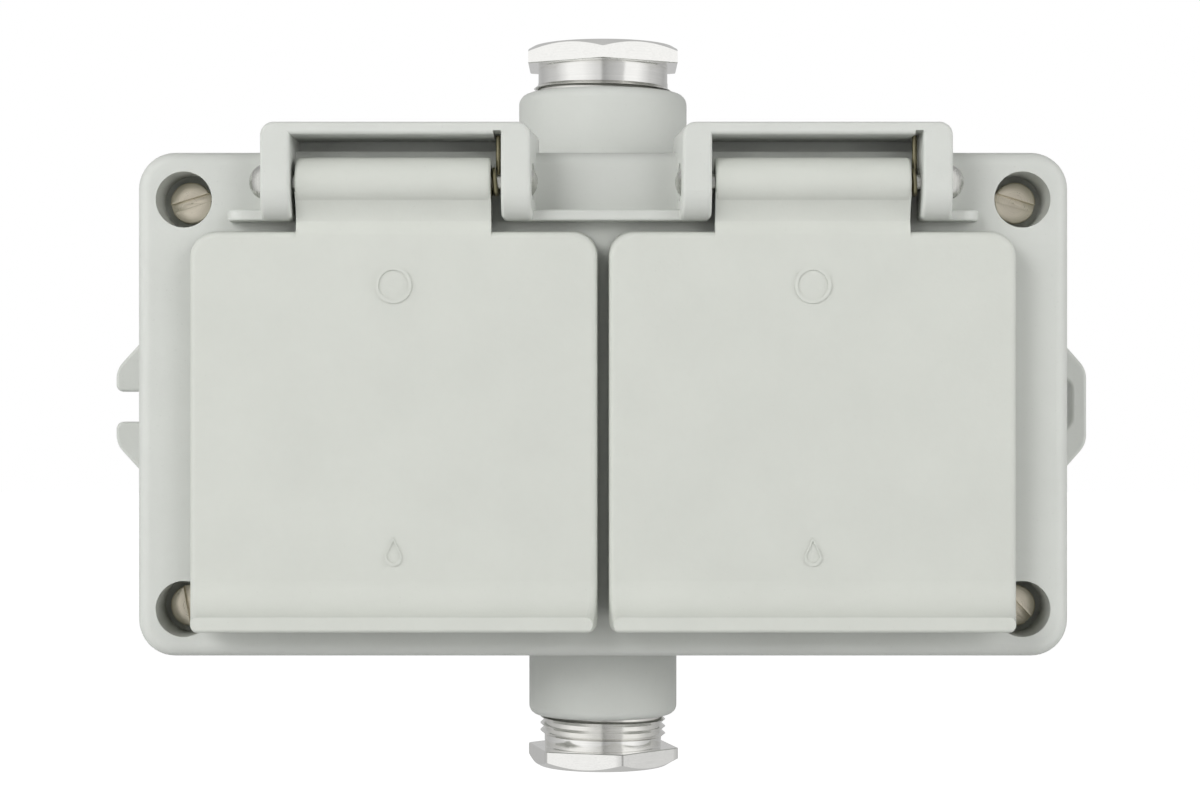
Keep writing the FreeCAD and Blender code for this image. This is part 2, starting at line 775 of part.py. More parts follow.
def gland_screw(gland):
    """Pressure screw: threaded shank, neck and hexagon head."""
    side = gland["side"]
    shoulder, washer, screw, neck, head, end = gland_places(gland)
    body = along(side, gland["thread"] / 2, screw, neck)
    body = body.fuse(along(side, gland["neck"] / 2, neck, head))
    radius = gland["across_flats"] / 2 / math.cos(math.pi / hexagon_sides)
    turn = math.radians(gland["hex_turn"] - 90)
    points = []
    for k in range(hexagon_sides + 1):
        angle = turn + k * 2 * math.pi / hexagon_sides
        points.append(V(radius * math.cos(angle), radius * math.sin(angle) - gland_depth,
                        side * head))
    hexagon = Part.Face(Part.makePolygon(points)).extrude(V(0, 0, side * (end - head)))
    cone = Part.makeCone(gland["across_flats"] / 2 + end - head - gland_chamfer / 2,
                         gland["across_flats"] / 2 - gland_chamfer / 2, end - head,
                         at(0, gland_depth, side * head), V(0, 0, side))
    body = body.fuse(hexagon.common(cone))
    return body.cut(along(side, gland["cable"] / 2, screw - past, end + past)).removeSplitter()


def gland_ring(gland, z0, z1, hole):
    """Washer or seal in the boss's bore."""
    ring = along(gland["side"], gland["thread"] / 2 - gland_seal_gap, z0, z1)
    return ring.cut(along(gland["side"], hole / 2, z0 - past, z1 + past))


def gland_washer(gland):
    """Thrust washer under the pressure screw."""
    shoulder, washer, screw = gland_places(gland)[:3]
    return gland_ring(gland, washer, screw, gland["cable"])


def gland_seal(gland):
    """Rubber ring that grips the cable."""
    shoulder, washer = gland_places(gland)[:2]
    return gland_ring(gland, shoulder, washer, gland["seal_hole"])


def earth_screw():
    """Housing's earth screw with its square clamp washer."""
    top = earth_boss_depth + earth_washer_thickness
    half = earth_washer_side / 2
    washer = box(earth_screw_x - half, earth_screw_x + half, earth_boss_depth, top,
                 earth_screw_z - half, earth_screw_z + half)
    washer = washer.cut(rod_y(earth_screw_x, earth_screw_z,
                              earth_screw_shank / 2 + screw_pass_gap, 0, top + past))
    screw = slotted_screw(earth_screw_x, earth_screw_z, earth_screw_head,
                          earth_screw_head_height, earth_screw_shank, top,
                          earth_washer_thickness + earth_screw_bite, earth_screw_turn)
    return washer, screw


def hinge_pin(cx):
    """Pin with a formed head outside the outer ear, riveted over at the inner one."""
    outer = 1 if cx > 0 else -1
    body = rod_x(hinge_depth, hinge_z, pin_diameter / 2, hood_seat(cx, -1), hood_seat(cx, 1))
    for side, head, height in ((outer, pin_head, pin_head_height),
                               (-outer, pin_rivet, pin_rivet_height)):
        ball = ((head / 2) ** 2 + height ** 2) / (2 * height)
        face = hood_seat(cx, side)
        end = face + side * (height + past)
        dome = Part.makeSphere(ball, at(face - side * (ball - height), hinge_depth, hinge_z))
        keep = rod_x(hinge_depth, hinge_z, 2 * ball, min(face, end), max(face, end))
        body = body.fuse(dome.common(keep))
    return body.removeSplitter()


def hinge_spring(cx):
    """Torsion spring round the pin, with its fixed leg up into the hood's notch."""
    turn_x = cx + hood_shift + hood_opening / 2 - spring_leg_gap - spring_wire / 2
    helix = Part.makeHelix(spring_pitch, spring_turns * spring_pitch, spring_radius)
    turned = FreeCAD.Rotation(V(0, 1, 0), V(0, 0, -1), V(-1, 0, 0), "ZXY")
    helix.Placement = FreeCAD.Placement(at(turn_x, hinge_depth, hinge_z), turned)
    start = at(turn_x, hinge_depth - spring_radius, hinge_z)
    top = hood_ceiling + spring_notch_height - spring_leg_gap
    leg = Part.makeLine(V(start.x, start.y, top), start)
    corners = []
    for k in range(spring_sides + 1):
        across, back = corner(start.x, start.y, spring_wire / 2, 360 * k / spring_sides)
        corners.append(V(across, back, top))
    ring = Part.makePolygon(corners)
    return Part.Wire([leg] + helix.Edges).makePipeShell([ring], True, True)


def lid(cx):
    """Die-cast lid with its flared finger lip, arm and hinge barrel."""
    half = lid_rim_width / 2
    fall = lid_bend_top - lid_bend_bottom
    bend = (fall ** 2 + lip_rise ** 2) / (2 * lip_rise)
    swing = math.degrees(math.atan2(fall, bend - lip_rise)) / 2
    flare = corner(lid_face_depth + bend, lid_bend_top, bend, 180 + swing)
    plate = side_plate(cx - half, cx + half,
                       (lid_rim_depth, lid_top), (lid_face_depth, lid_top),
                       (lid_face_depth, lid_bend_top), (flare, (lid_lip_depth, lid_bend_bottom)),
                       (lid_lip_depth, lid_bottom), (lid_lip_depth - lip_edge, lid_bottom),
                       (lid_face_depth - lid_wall, lid_bottom_rear),
                       (lid_rim_depth, lid_bottom_rear))
    plate = plate.makeFillet(lip_bottom_round, edges_at(
        plate, lambda x, d, z: abs(d - lid_lip_depth) < near and abs(z - lid_bottom) < near))
    sections = []
    for width, draft, depth in ((lid_rim_width, 0, lid_rim_depth),
                                (lid_shoulder_width, lid_shoulder_draft,
                                 lid_face_depth - lid_shoulder_setback),
                                (lid_lip_width, lid_top_draft, lid_lip_depth)):
        sections.append(rounded_wire(width, lid_bottom - lid_top_draft + draft, lid_top - draft,
                                     lid_corner, lid_lower_corner, depth, cx))
    body = plate.common(Part.makeLoft(sections, True, True))
    body = body.makeFillet(lid_face_round, edges_at(
        body, lambda x, d, z: d > lid_face_depth - near and z > lid_bottom + lid_lower_corner and
        (abs(x - cx) > lid_lip_width / 2 - lid_corner or z > socket_z)))
    body = body.fuse(lid_arm(cx))
    body = body.cut(lid_hollow(cx))
    body = body.cut(rod_x(hinge_depth, hinge_z, pin_diameter / 2 + pin_gap, cx - half, cx + half))
    end = cx + barrel_half
    return body.cut(rod_x(hinge_depth, hinge_z, spring_pocket_radius,
                          end - spring_pocket_length, end + past)).removeSplitter()


def lid_hollow(cx):
    """Space behind the lid's face."""
    inner = lid_rim_width - 2 * lid_wall
    wire = rounded_wire(inner, lid_bottom_rear + lid_bottom_wall, lid_top - lid_wall,
                        lid_corner - lid_wall, lid_corner - lid_wall, lid_rim_depth - past, cx)
    return Part.Face(wire).extrude(V(0, lid_rim_depth - past - lid_face_depth + lid_wall, 0))


def lid_arm(cx):
    """Hinge barrel and the waisted arm that joins it to the lid."""
    left = cx - barrel_half
    right = cx + barrel_half
    barrel = rod_x(hinge_depth, hinge_z, barrel_radius, left, right)
    barrel = barrel.makeFillet(barrel_end_round, edges_at(
        barrel, lambda x, d, z: abs(abs(x - cx) - barrel_half) < near))
    joint = corner(hinge_depth, hinge_z, barrel_radius - arm_lap, arm_joint_angle)
    rear = lid_face_depth - arm_thickness
    foot = lid_top - arm_foot_drop
    waist = (lid_face_depth - arm_waist_dip, lid_top + arm_waist_rise)
    arm = side_plate(left, right, (rear, foot), (lid_face_depth, foot), (waist, joint),
                     (hinge_depth, hinge_z), (rear, hinge_z))
    return barrel.fuse(arm)


def lid_seal(cx):
    """Rubber ring in the lid that lies on the cover's collar."""
    top = lid_face_depth - lid_wall
    bottom = collar_top + seal_gap
    ring = rod_y(cx, socket_z, collar_radius + seal_overhang, bottom, top)
    return ring.cut(rod_y(cx, socket_z, socket_hole / 2 + seal_overhang, bottom - past,
                          top + past))


def save(name, *solids):
    """Write one node, alone or as a group of solids."""
    shape = solids[0] if len(solids) == 1 else Part.makeCompound(list(solids))
    for solid in shape.Solids:
        if not solid.isValid():
            raise ValueError(name + " is not a valid solid")
    shape.exportStep("parts/" + name + ".step")
    print(name, len(shape.Solids), round(shape.Volume, 1))


def main():
    os.makedirs("parts", exist_ok=True)
    save("base_box", base_box())
    save("cover", cover())
    save("cover_gasket", cover_gasket())
    save("cover_screws", *cover_screws())
    save("earth_screw", *earth_screw())
    for name, gland in (("top", top_gland), ("bottom", bottom_gland)):
        save(name + "_gland_screw", gland_screw(gland))
        save(name + "_gland_washer", gland_washer(gland))
        save(name + "_gland_seal", gland_seal(gland))
    for name, cx in (("left", -unit_x), ("right", unit_x)):
        save(name + "_socket_pot", socket_pot(cx))
        save(name + "_pot_seal", pot_seal(cx))
        save(name + "_pot_screws", *pot_screws(cx))
        save(name + "_contact_carrier", contact_carrier(cx))
        save(name + "_carrier_screw", carrier_screw(cx))
        save(name + "_line_contact", contact(cx, -1))
        save(name + "_neutral_contact", contact(cx, 1))
        save(name + "_earth_contact", earth_contact(cx))
        save(name + "_terminal_screws", *terminal_screws(cx))
        save(name + "_hinge_pin", hinge_pin(cx))
        save(name + "_hinge_spring", hinge_spring(cx))
        save(name + "_lid", lid(cx))
        save(name + "_lid_seal", lid_seal(cx))


main()
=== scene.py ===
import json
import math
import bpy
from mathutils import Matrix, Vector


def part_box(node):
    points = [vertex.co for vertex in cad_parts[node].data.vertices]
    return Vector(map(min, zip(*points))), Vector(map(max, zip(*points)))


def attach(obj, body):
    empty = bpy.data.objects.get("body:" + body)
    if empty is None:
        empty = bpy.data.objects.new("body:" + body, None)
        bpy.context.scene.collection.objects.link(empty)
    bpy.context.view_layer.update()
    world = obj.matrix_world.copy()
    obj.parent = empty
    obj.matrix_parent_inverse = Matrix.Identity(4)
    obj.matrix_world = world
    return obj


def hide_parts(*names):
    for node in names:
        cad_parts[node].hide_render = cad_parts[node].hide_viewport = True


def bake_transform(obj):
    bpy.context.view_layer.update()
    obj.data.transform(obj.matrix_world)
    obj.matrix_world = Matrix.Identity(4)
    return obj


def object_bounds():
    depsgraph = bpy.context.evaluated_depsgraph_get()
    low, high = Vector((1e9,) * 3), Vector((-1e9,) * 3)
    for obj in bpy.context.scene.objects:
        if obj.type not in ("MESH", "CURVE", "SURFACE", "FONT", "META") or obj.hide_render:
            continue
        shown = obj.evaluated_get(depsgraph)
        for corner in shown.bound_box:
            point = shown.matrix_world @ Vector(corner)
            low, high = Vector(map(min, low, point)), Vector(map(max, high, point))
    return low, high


bl_info = {
    "name": "Outdoor Weatherproof Socket",
    "version": (1, 0, 0),
    "blender": (4, 5, 0),
    "location": "3D View > Sidebar > Weatherproof Socket",
    "description": "Finishes, screws, springs and stage for a die-cast double socket with sprung lids",
    "category": "Object",
}

import bmesh
import bpy
from bpy.props import FloatProperty, FloatVectorProperty, IntProperty, PointerProperty
from mathutils import Matrix, Vector

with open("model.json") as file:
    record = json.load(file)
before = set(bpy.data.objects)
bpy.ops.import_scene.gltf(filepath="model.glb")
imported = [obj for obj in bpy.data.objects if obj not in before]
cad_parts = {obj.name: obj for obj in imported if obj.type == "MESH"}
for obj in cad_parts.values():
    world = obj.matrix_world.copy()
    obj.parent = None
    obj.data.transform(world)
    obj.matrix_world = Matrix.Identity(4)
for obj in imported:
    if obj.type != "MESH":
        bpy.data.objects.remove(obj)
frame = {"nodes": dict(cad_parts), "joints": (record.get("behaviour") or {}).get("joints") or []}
CAD_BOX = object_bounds()
NODES = frame["nodes"]
SIDES = ("left", "right")
MM = 0.001
WHITE = (1.0, 1.0, 1.0, 1.0)


def node_centre(name):
    """Middle of a CAD node's box."""
    low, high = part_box(name)
    return (low + high) / 2


def node_size(name):
    """Width, depth and height of a CAD node's box."""
    low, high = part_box(name)
    return high - low


def hinge_point(side):
    """A point on a lid's hinge axis."""
    for joint in frame["joints"]:
        if joint["name"] == side + "_lid_hinge":
            return Vector(joint["pos_m"])
    raise RuntimeError("the frame has no hinge for the " + side + " lid")


# Properties


def length(name, description, default):
    """Length in metres."""
    return FloatProperty(name=name, description=description, default=default, min=0.0,
                         subtype="DISTANCE", unit="LENGTH", precision=5)


def power(name, watts):
    """Power of a light."""
    return FloatProperty(name=name, description=name + "'s power", default=watts, min=0.0,
                         unit="POWER")


def rotation(name, description, degrees):
    """Angle whose default is given in degrees."""
    return FloatProperty(name=name, description=description, default=math.radians(degrees),
                         subtype="ANGLE")


def colour(name, description, default):
    """Linear colour of three values."""
    return FloatVectorProperty(name=name, description=description, default=default, size=3,
                               min=0.0, max=1.0, subtype="COLOR")


class SocketSizes(bpy.types.PropertyGroup):
    thread_pitch: length("Thread pitch", "Rise of one turn of the gland thread", 1.15 * MM)
    thread_height: length("Thread height", "Root to crest of the gland thread", 0.7 * MM)
    thread_gap: length("Thread gap", "From a gland's washer out to its thread's crest", 0.1 * MM)
    neck_drop: length("Neck drop", "From a gland's thread crest in to its neck", 0.75 * MM)
    top_thread_shown: length("Top thread shown", "Thread outside the top boss", 1.7 * MM)
    top_neck: length("Top neck", "Neck between the top thread and hexagon", 2.6 * MM)
    top_flats: length("Top hexagon", "Across the flats of the top hexagon", 24.0 * MM)
    top_hole: length("Top cable hole", "Width of the top cable hole", 15.0 * MM)
    top_turn: rotation("Top turn", "Turn of the top hexagon", 0.0)
    bottom_thread_shown: length("Bottom thread shown", "Thread outside the bottom boss",
                                4.2 * MM)
    bottom_neck: length("Bottom neck", "Neck between the bottom thread and hexagon", 1.0 * MM)
    bottom_flats: length("Bottom hexagon", "Across the flats of the bottom hexagon", 22.0 * MM)
    bottom_hole: length("Bottom cable hole", "Width of the bottom cable hole", 13.0 * MM)
    bottom_turn: rotation("Bottom turn", "Turn of the bottom hexagon", 14.0)
    hex_round: length("Hexagon edge", "Rounding of the hexagon's edges", 0.12 * MM)
    hex_chamfer: length("Hexagon chamfer", "From the flats in to the end's chamfer", 0.55 * MM)
    screw_head: length("Screw head", "Radius of the cover screws' heads", 3.2 * MM)
    screw_head_height: length("Screw head height", "Height of the cover screws' heads", 2.4 * MM)
    screw_shank: length("Screw shank", "Radius of the cover screws' shanks", 2.0 * MM)
    screw_slot: length("Screw slot", "Width of the cover screws' slots", 1.3 * MM)
    screw_slot_depth: length("Screw slot depth", "Depth of the cover screws' slots", 1.0 * MM)
    screw_edge: length("Screw edge", "Rounding of the screw heads", 0.22 * MM)
    spring_wire: length("Spring wire", "Radius of the hinge springs' wire", 0.4 * MM)
    spring_radius: length("Spring radius", "Mean radius of the hinge springs", 1.85 * MM)
    spring_pitch: length("Spring pitch", "Rise of one turn of the hinge springs", 0.9 * MM)
    spring_turns: IntProperty(name="Spring turns", description="Turns of each hinge spring",
                              default=4, min=1)
    lid_wall: length("Lid wall", "Thickness of the lids' faces", 2.0 * MM)
    drop_height: length("Drop mark", "Height of the drop cast on each lid", 4.4 * MM)
    drop_rise: length("Drop place", "Drop's height above the seal's lower edge", 8.5 * MM)
    ring_size: length("Ring mark", "Width of the plain ring cast on each lid", 5.6 * MM)
    ring_drop: length("Ring place", "Ring's depth below the seal's upper edge", 4.3 * MM)
    arm_width: length("Arm width", "Width of the lids' hinge arms", 29.4 * MM)
    arm_length: length("Arm length", "From a lid's top edge up to its hinge axis", 7.2 * MM)
    arm_dip: length("Arm dip", "From a lid's face back to its arm's waist", 0.59 * MM)
    arm_rise: length("Arm rise", "Height of the soft rise from the arm to the face", 2.4 * MM)
    arm_lead: length("Arm lead", "From a lid's top edge to the rise's foot, and the foot's height",
                     1.0 * MM)
    arm_skin: length("Arm skin", "How far the rise's end lies over the face", 0.01 * MM)
    mark_line: length("Mark line", "Width of the cast marks' lines", 0.55 * MM)
    mark_relief: length("Mark relief", "How far the marks stand out of the lids", 0.18 * MM)
    peel_size: length("Paint texture", "Size of the powder coat's ripples", 0.55 * MM)
    peel_depth: length("Paint texture depth", "Depth of the powder coat's ripples", 0.012 * MM)


class SocketColours(bpy.types.PropertyGroup):
    paint: colour("Housing paint", "Powder coat of the base and the cover", (0.585, 0.600, 0.568))
    lid_paint: colour("Lid paint", "Powder coat of the lids", (0.568, 0.583, 0.540))
    gland: colour("Gland metal", "Bright turned metal of the gland screws", (0.95, 0.945, 0.92))
    nickel: colour("Screw nickel", "Plating of the cover screws", (0.86, 0.79, 0.65))
    zinc: colour("Inner screw zinc", "Plating of the screws inside", (0.62, 0.64, 0.66))
    pin: colour("Pin steel", "Bright steel of the hinge pins", (0.66, 0.66, 0.63))
    spring: colour("Spring steel", "Oiled wire of the hinge springs", (0.34, 0.31, 0.20))
    brass: colour("Contact brass", "Contacts and earth clips", (0.72, 0.54, 0.24))
    pot: colour("Socket moulding", "Dark moulding of the plug recess", (0.018, 0.019, 0.021))
    carrier: colour("Carrier moulding", "Pale moulding behind the recess", (0.62, 0.59, 0.50))
    rubber: colour("Rubber", "Gaskets and sealing rings", (0.022, 0.022, 0.023))


class SocketStage(bpy.types.PropertyGroup):
    camera_distance: length("Camera distance", "From the wall to the camera", 0.447)
    camera_right: FloatProperty(name="Camera right", description="Camera's place to the right",
                                default=-0.47 * MM, unit="LENGTH", precision=5)
    camera_up: FloatProperty(name="Camera up", description="Camera's height above the middle",
                             default=0.8 * MM, unit="LENGTH", precision=5)
    lens: FloatProperty(name="Lens", description="Focal length", default=79.1, unit="CAMERA")
    floor_drop: length("Floor drop", "From the lowest gland screw down to the floor", 0.24)
    light_distance: length("Light distance", "From the socket to each soft light", 1.2)
    light_size: length("Light size", "Width of each soft light", 0.6)
    upper_left: power("Upper left light", 6.0)
    upper_right: power("Upper right light", 1.8)
    side_left: power("Left side light", 4.7)
    side_right: power("Right side light", 4.9)
    front_left: power("Front left light", 1.5)
    front_right: power("Front right light", 2.5)
    rear: power("Rear light", 6.0)
    room_light: FloatProperty(name="Room light", description="Strength of the pale room",
                              default=0.10, min=0.0)
    floor_size: length("Floor size", "Half the floor's width", 8.0)
    floor_tone: FloatProperty(name="Floor tone", description="Grey level of the floor",
                              default=0.65, min=0.0, max=1.0)
    floor_glow: FloatProperty(name="Floor glow", description="Whiteness the floor adds itself",
                              default=0.94, min=0.0)


# Node helpers


def feed(tree, node, inputs):
    """Gives each named or numbered input of a node a link or a plain value."""
    for name, value in inputs.items():
        if isinstance(value, bpy.types.NodeSocket):
            tree.links.new(value, node.inputs[name])
        else:
            node.inputs[name].default_value = value


def new_node(tree, kind, inputs=None, **settings):
    """New node with its settings and inputs."""
    made = tree.nodes.new(kind)
    for name, value in settings.items():
        setattr(made, name, value)
    feed(tree, made, inputs or {})
    return made


def new_tree(kind, name, inputs, outputs):
    """Empty group with named sockets. Gives its tree, what comes in and its last node."""
    tree = bpy.data.node_groups.new(name, kind)
    for way, sockets in (("INPUT", inputs), ("OUTPUT", outputs)):
        for label, form in sockets:
            tree.interface.new_socket(name=label, in_out=way, socket_type="NodeSocket" + form)
    return tree, new_node(tree, "NodeGroupInput").outputs, new_node(tree, "NodeGroupOutput")


def built_once(build):
    """Node group that a function builds under the function's own name."""
    return bpy.data.node_groups.get(build.__name__) or build(build.__name__)


def maths(tree, operation, *values):
    """Math node fed by sockets or numbers. Gives its output."""
    numbered = dict(enumerate(values))
    return new_node(tree, "ShaderNodeMath", numbered, operation=operation).outputs[0]


def stretched(tree, value, low, high):
    """Value from 0 to 1, spread between two numbers."""
    return new_node(tree, "ShaderNodeMapRange",
                    {"Value": value, "To Min": low, "To Max": high}).outputs["Result"]


def noise(tree, vector, scale, detail=2.0, roughness=0.5):
    """Noise with values from 0 to 1."""
    return new_node(tree, "ShaderNodeTexNoise", {
        "Vector": vector, "Scale": scale, "Detail": detail, "Roughness": roughness,
    }).outputs["Fac"]


def tinted(tree, base, shade):
    """Colour made lighter or darker by a value."""
    return new_node(tree, "ShaderNodeVectorMath", {0: base, "Scale": shade},
                    operation="SCALE").outputs["Vector"]


def surface_group(name, *values):
    """Empty shader group from a vector, a colour and plain values to a finish."""
    return new_tree("ShaderNodeTree", name,
                    [("Vector", "Vector"), ("Colour", "Color"),
                     *((label, "Float") for label in values)],
                    [("Colour", "Color"), ("Roughness", "Float"), ("Height", "Float")])


def powder_coat(name):
    """Paint with soft clouds of tone, fine ripples and a few pin-head specks."""
    tree, given, result = surface_group(name, "Ripple scale")
    cloud = noise(tree, given["Vector"], scale=95.0, detail=3.0)
    patch = noise(tree, given["Vector"], scale=640.0)
    ripple = noise(tree, given["Vector"], given["Ripple scale"], detail=1.5, roughness=0.4)
    fleck = noise(tree, given["Vector"], scale=2600.0, detail=1.0)
    # Only the peaks of the flecks show, and they are 5 per cent darker
    speck = maths(tree, "GREATER_THAN", fleck, 0.74)
    shade = maths(tree, "ADD", stretched(tree, cloud, 0.955, 1.045),
                  stretched(tree, patch, -0.012, 0.012))
    shade = maths(tree, "SUBTRACT", shade, maths(tree, "MULTIPLY", speck, 0.05))
    gloss = maths(tree, "ADD", stretched(tree, cloud, 0.40, 0.50),
                  stretched(tree, ripple, -0.05, 0.05))
    feed(tree, result, {"Colour": tinted(tree, given["Colour"], shade), "Roughness": gloss,
                        "Height": ripple})
    return tree


def turned_metal(name):
    """Fine rings round the Z axis of the vector, as a lathe leaves them, with long soft streaks."""
    tree, given, result = surface_group(name, "Ring scale", "Base roughness")
    across, back, up = new_node(tree, "ShaderNodeSeparateXYZ", {0: given["Vector"]}).outputs
    radius = maths(tree, "SQRT", maths(tree, "ADD", maths(tree, "MULTIPLY", across, across),
                                       maths(tree, "MULTIPLY", back, back)))
    angle = maths(tree, "ARCTAN2", back, across)
    marks = new_node(tree, "ShaderNodeCombineXYZ", {
        "X": maths(tree, "MULTIPLY", radius, given["Ring scale"]),
        "Y": maths(tree, "MULTIPLY", up, given["Ring scale"]),
        "Z": maths(tree, "SINE", maths(tree, "MULTIPLY", angle, 0.5)),
    })
    rings = noise(tree, marks.outputs[0], scale=1.0, detail=3.0, roughness=0.6)
    mottle = noise(tree, given["Vector"], scale=700.0, detail=3.0)
    shade = maths(tree, "ADD", stretched(tree, rings, 0.84, 1.06),
                  stretched(tree, mottle, -0.03, 0.03))
    gloss = maths(tree, "ADD", given["Base roughness"],
                  maths(tree, "ADD", stretched(tree, rings, -0.07, 0.07),
                        stretched(tree, mottle, -0.03, 0.03)))
    feed(tree, result, {"Colour": tinted(tree, given["Colour"], shade), "Roughness": gloss,
                        "Height": rings})
    return tree


def moulded(name):
    """Moulded plastic or rubber: fine even grain with faint flow marks."""
    tree, given, result = surface_group(name, "Grain scale", "Base roughness")
    flow = noise(tree, given["Vector"], scale=160.0, detail=4.0, roughness=0.6)
    grain = noise(tree, given["Vector"], given["Grain scale"])
    shade = maths(tree, "ADD", stretched(tree, flow, 0.86, 1.14),
                  stretched(tree, grain, -0.05, 0.05))
    gloss = maths(tree, "ADD", given["Base roughness"], stretched(tree, flow, -0.07, 0.07))
    feed(tree, result, {"Colour": tinted(tree, given["Colour"], shade), "Roughness": gloss,
                        "Height": grain})
    return tree


def start_material(name):
    """New material with a bare Principled shader. Gives its tree and the shader."""
    if name in bpy.data.materials:
        raise RuntimeError("the frame already has a material named " + name)
    material = bpy.data.materials.new(name)
    material.use_nodes = True
    return material.node_tree, material.node_tree.nodes["Principled BSDF"]


def dress(tree, shader, build, values, vector, depth):
    """Feeds a shader's colour, roughness and bump from one of the groups above."""
    effect = new_node(tree, "ShaderNodeGroup", {"Vector": vector, **values},
                      node_tree=built_once(build)).outputs
    bump = new_node(tree, "ShaderNodeBump",
                    {"Strength": 1.0, "Distance": depth, "Height": effect["Height"]})
    feed(tree, shader, {"Base Color": effect["Colour"], "Roughness": effect["Roughness"],
                        "Normal": bump.outputs["Normal"]})


def object_vector(tree):
    """Coordinates of the piece itself."""
    return new_node(tree, "ShaderNodeTexCoord").outputs["Object"]


def shifted(tree, vector, centre, turn=(0.0, 0.0, 0.0)):
    """Vector measured from a centre, then turned."""
    moved = new_node(tree, "ShaderNodeVectorMath", {0: vector, 1: centre}, operation="SUBTRACT")
    return new_node(tree, "ShaderNodeMapping",
                    {"Vector": moved.outputs[0], "Rotation": turn}).outputs["Vector"]


def rgba(value):
    """Colour of three values as an opaque one of four."""
    return (*value, 1.0)


def painted(name, paint, sizes):
    """Powder-coated die casting."""
    tree, shader = start_material(name)
    dress(tree, shader, powder_coat,
          {"Colour": rgba(paint), "Ripple scale": 1.0 / sizes.peel_size},
          object_vector(tree), sizes.peel_depth)
    shader.inputs["Specular IOR Level"].default_value = 0.45


def bright(name, metal, vector_of, rings, roughness, depth):
    """Turned or plated metal with rings round an axis."""
    tree, shader = start_material(name)
    dress(tree, shader, turned_metal,
          {"Colour": rgba(metal), "Ring scale": rings, "Base roughness": roughness},
          vector_of(tree), depth)
    shader.inputs["Metallic"].default_value = 1.0


def cast_in_mould(name, tone, grain, roughness, depth):
    """Plastic or rubber moulding."""
    tree, shader = start_material(name)
    dress(tree, shader, moulded,
          {"Colour": rgba(tone), "Grain scale": grain, "Base roughness": roughness},
          object_vector(tree), depth)


def about_gland(tree):
    """Coordinates round the glands' common axis."""
    centre = node_centre("top_gland_washer")
    return shifted(tree, object_vector(tree), (centre.x, centre.y, 0.0))


def about_hinge(tree):
    """Coordinates round the hinges' common axis."""
    point = hinge_point("left")
    return shifted(tree, object_vector(tree), (0.0, point.y, point.z),
                   (0.0, math.radians(-90), 0.0))


def about_cover_screws(tree):
    """Coordinates round the nearest cover screw. The four stand evenly round the middle."""
    folded = new_node(tree, "ShaderNodeVectorMath", {0: object_vector(tree)},
                      operation="ABSOLUTE")
    corner = screw_places(bpy.context.scene.socket_sizes)[0]
    centre = (abs(corner.x), abs(corner.y), abs(corner.z))
    return shifted(tree, folded.outputs[0], centre, (math.radians(90), 0.0, 0.0))


def set_material(name, material):
    """Gives a CAD node one material."""
    slots = NODES[name].data.materials
    if len(slots) == 0:
        slots.append(material)
    for index in range(len(slots)):
        slots[index] = material


def material_of(name):
    """Material of a name. It has to be there."""
    found = bpy.data.materials.get(name)
    if found is None:
        raise RuntimeError("no material is named " + name)
    return found


# Mesh helpers


def finish_piece(mesh_object, body, slot, *nodes, smooth):
    """Shades a finished piece, seats it on its body and hides the CAD nodes it stands for."""
    shade_smooth(mesh_object, smooth)
    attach(mesh_object, body)
    if nodes:
        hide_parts(*nodes)


def shade_smooth(mesh_object, degrees):
    """Smooth shading with sharp edges above an angle."""
    data = mesh_object.data
    data.polygons.foreach_set("use_smooth", [True] * len(data.polygons))
    data.set_sharp_from_angle(angle=math.radians(degrees))


def linked(name, data):
    """New object in the scene."""
    made = bpy.data.objects.new(name, data)
    bpy.context.scene.collection.objects.link(made)
    return made


def object_from(name, build):
    """New object whose mesh a function fills through bmesh."""
    mesh = bpy.data.meshes.new(name)
    work = bmesh.new()
    build(work)
    bmesh.ops.recalc_face_normals(work, faces=work.faces)
    work.to_mesh(mesh)
    work.free()
    return linked(name, mesh)


def stitch(work, rings):
    """Skin between closed rings of corners, the last one joined to the first."""
    for here, there in zip(rings, rings[1:] + rings[:1]):
        for k in range(len(here)):
            after = (k + 1) % len(here)
            work.faces.new((here[k], there[k], there[after], here[after]))


def lathe(work, profile, steps):
    """Closed ring of (radius, height) points turned round the Z axis."""
    rings = []
    for step in range(steps):
        angle = math.tau * step / steps
        rings.append([work.verts.new((radius * math.cos(angle), radius * math.sin(angle), height))
                      for radius, height in profile])
    stitch(work, rings)


def solid_copy(source, name):
    """Plain object with the source's mesh, modifiers applied. The source is removed."""
    graph = bpy.context.evaluated_depsgraph_get()
    mesh = bpy.data.meshes.new_from_object(source.evaluated_get(graph))
    mesh.name = name
    bpy.data.objects.remove(source)
    return linked(name, mesh)


def joined(name, *objects):
    """Objects at the origin, joined into one."""
    work = bmesh.new()
    for each in objects:
        work.from_mesh(each.data)
    mesh = bpy.data.meshes.new(name)
    work.to_mesh(mesh)
    work.free()
    for material in objects[0].data.materials:
        mesh.materials.append(material)
    for each in objects:
        bpy.data.objects.remove(each)
    return linked(name, mesh)


# Geometry Nodes trees


def geometry_group(name, *inputs):
    """Empty geometry group with named inputs and one geometry output."""
    return new_tree("GeometryNodeTree", name, [("Geometry", "Geometry"), *inputs],
                    [("Geometry", "Geometry")])


def closed(tree, geometry, material, result):
    """The tree, ended in real, dressed geometry."""
    real = new_node(tree, "GeometryNodeRealizeInstances", {"Geometry": geometry})
    dressed = new_node(tree, "GeometryNodeSetMaterial",
                       {"Geometry": real.outputs["Geometry"], "Material": material})
    feed(tree, result, {"Geometry": dressed.outputs["Geometry"]})
    return tree


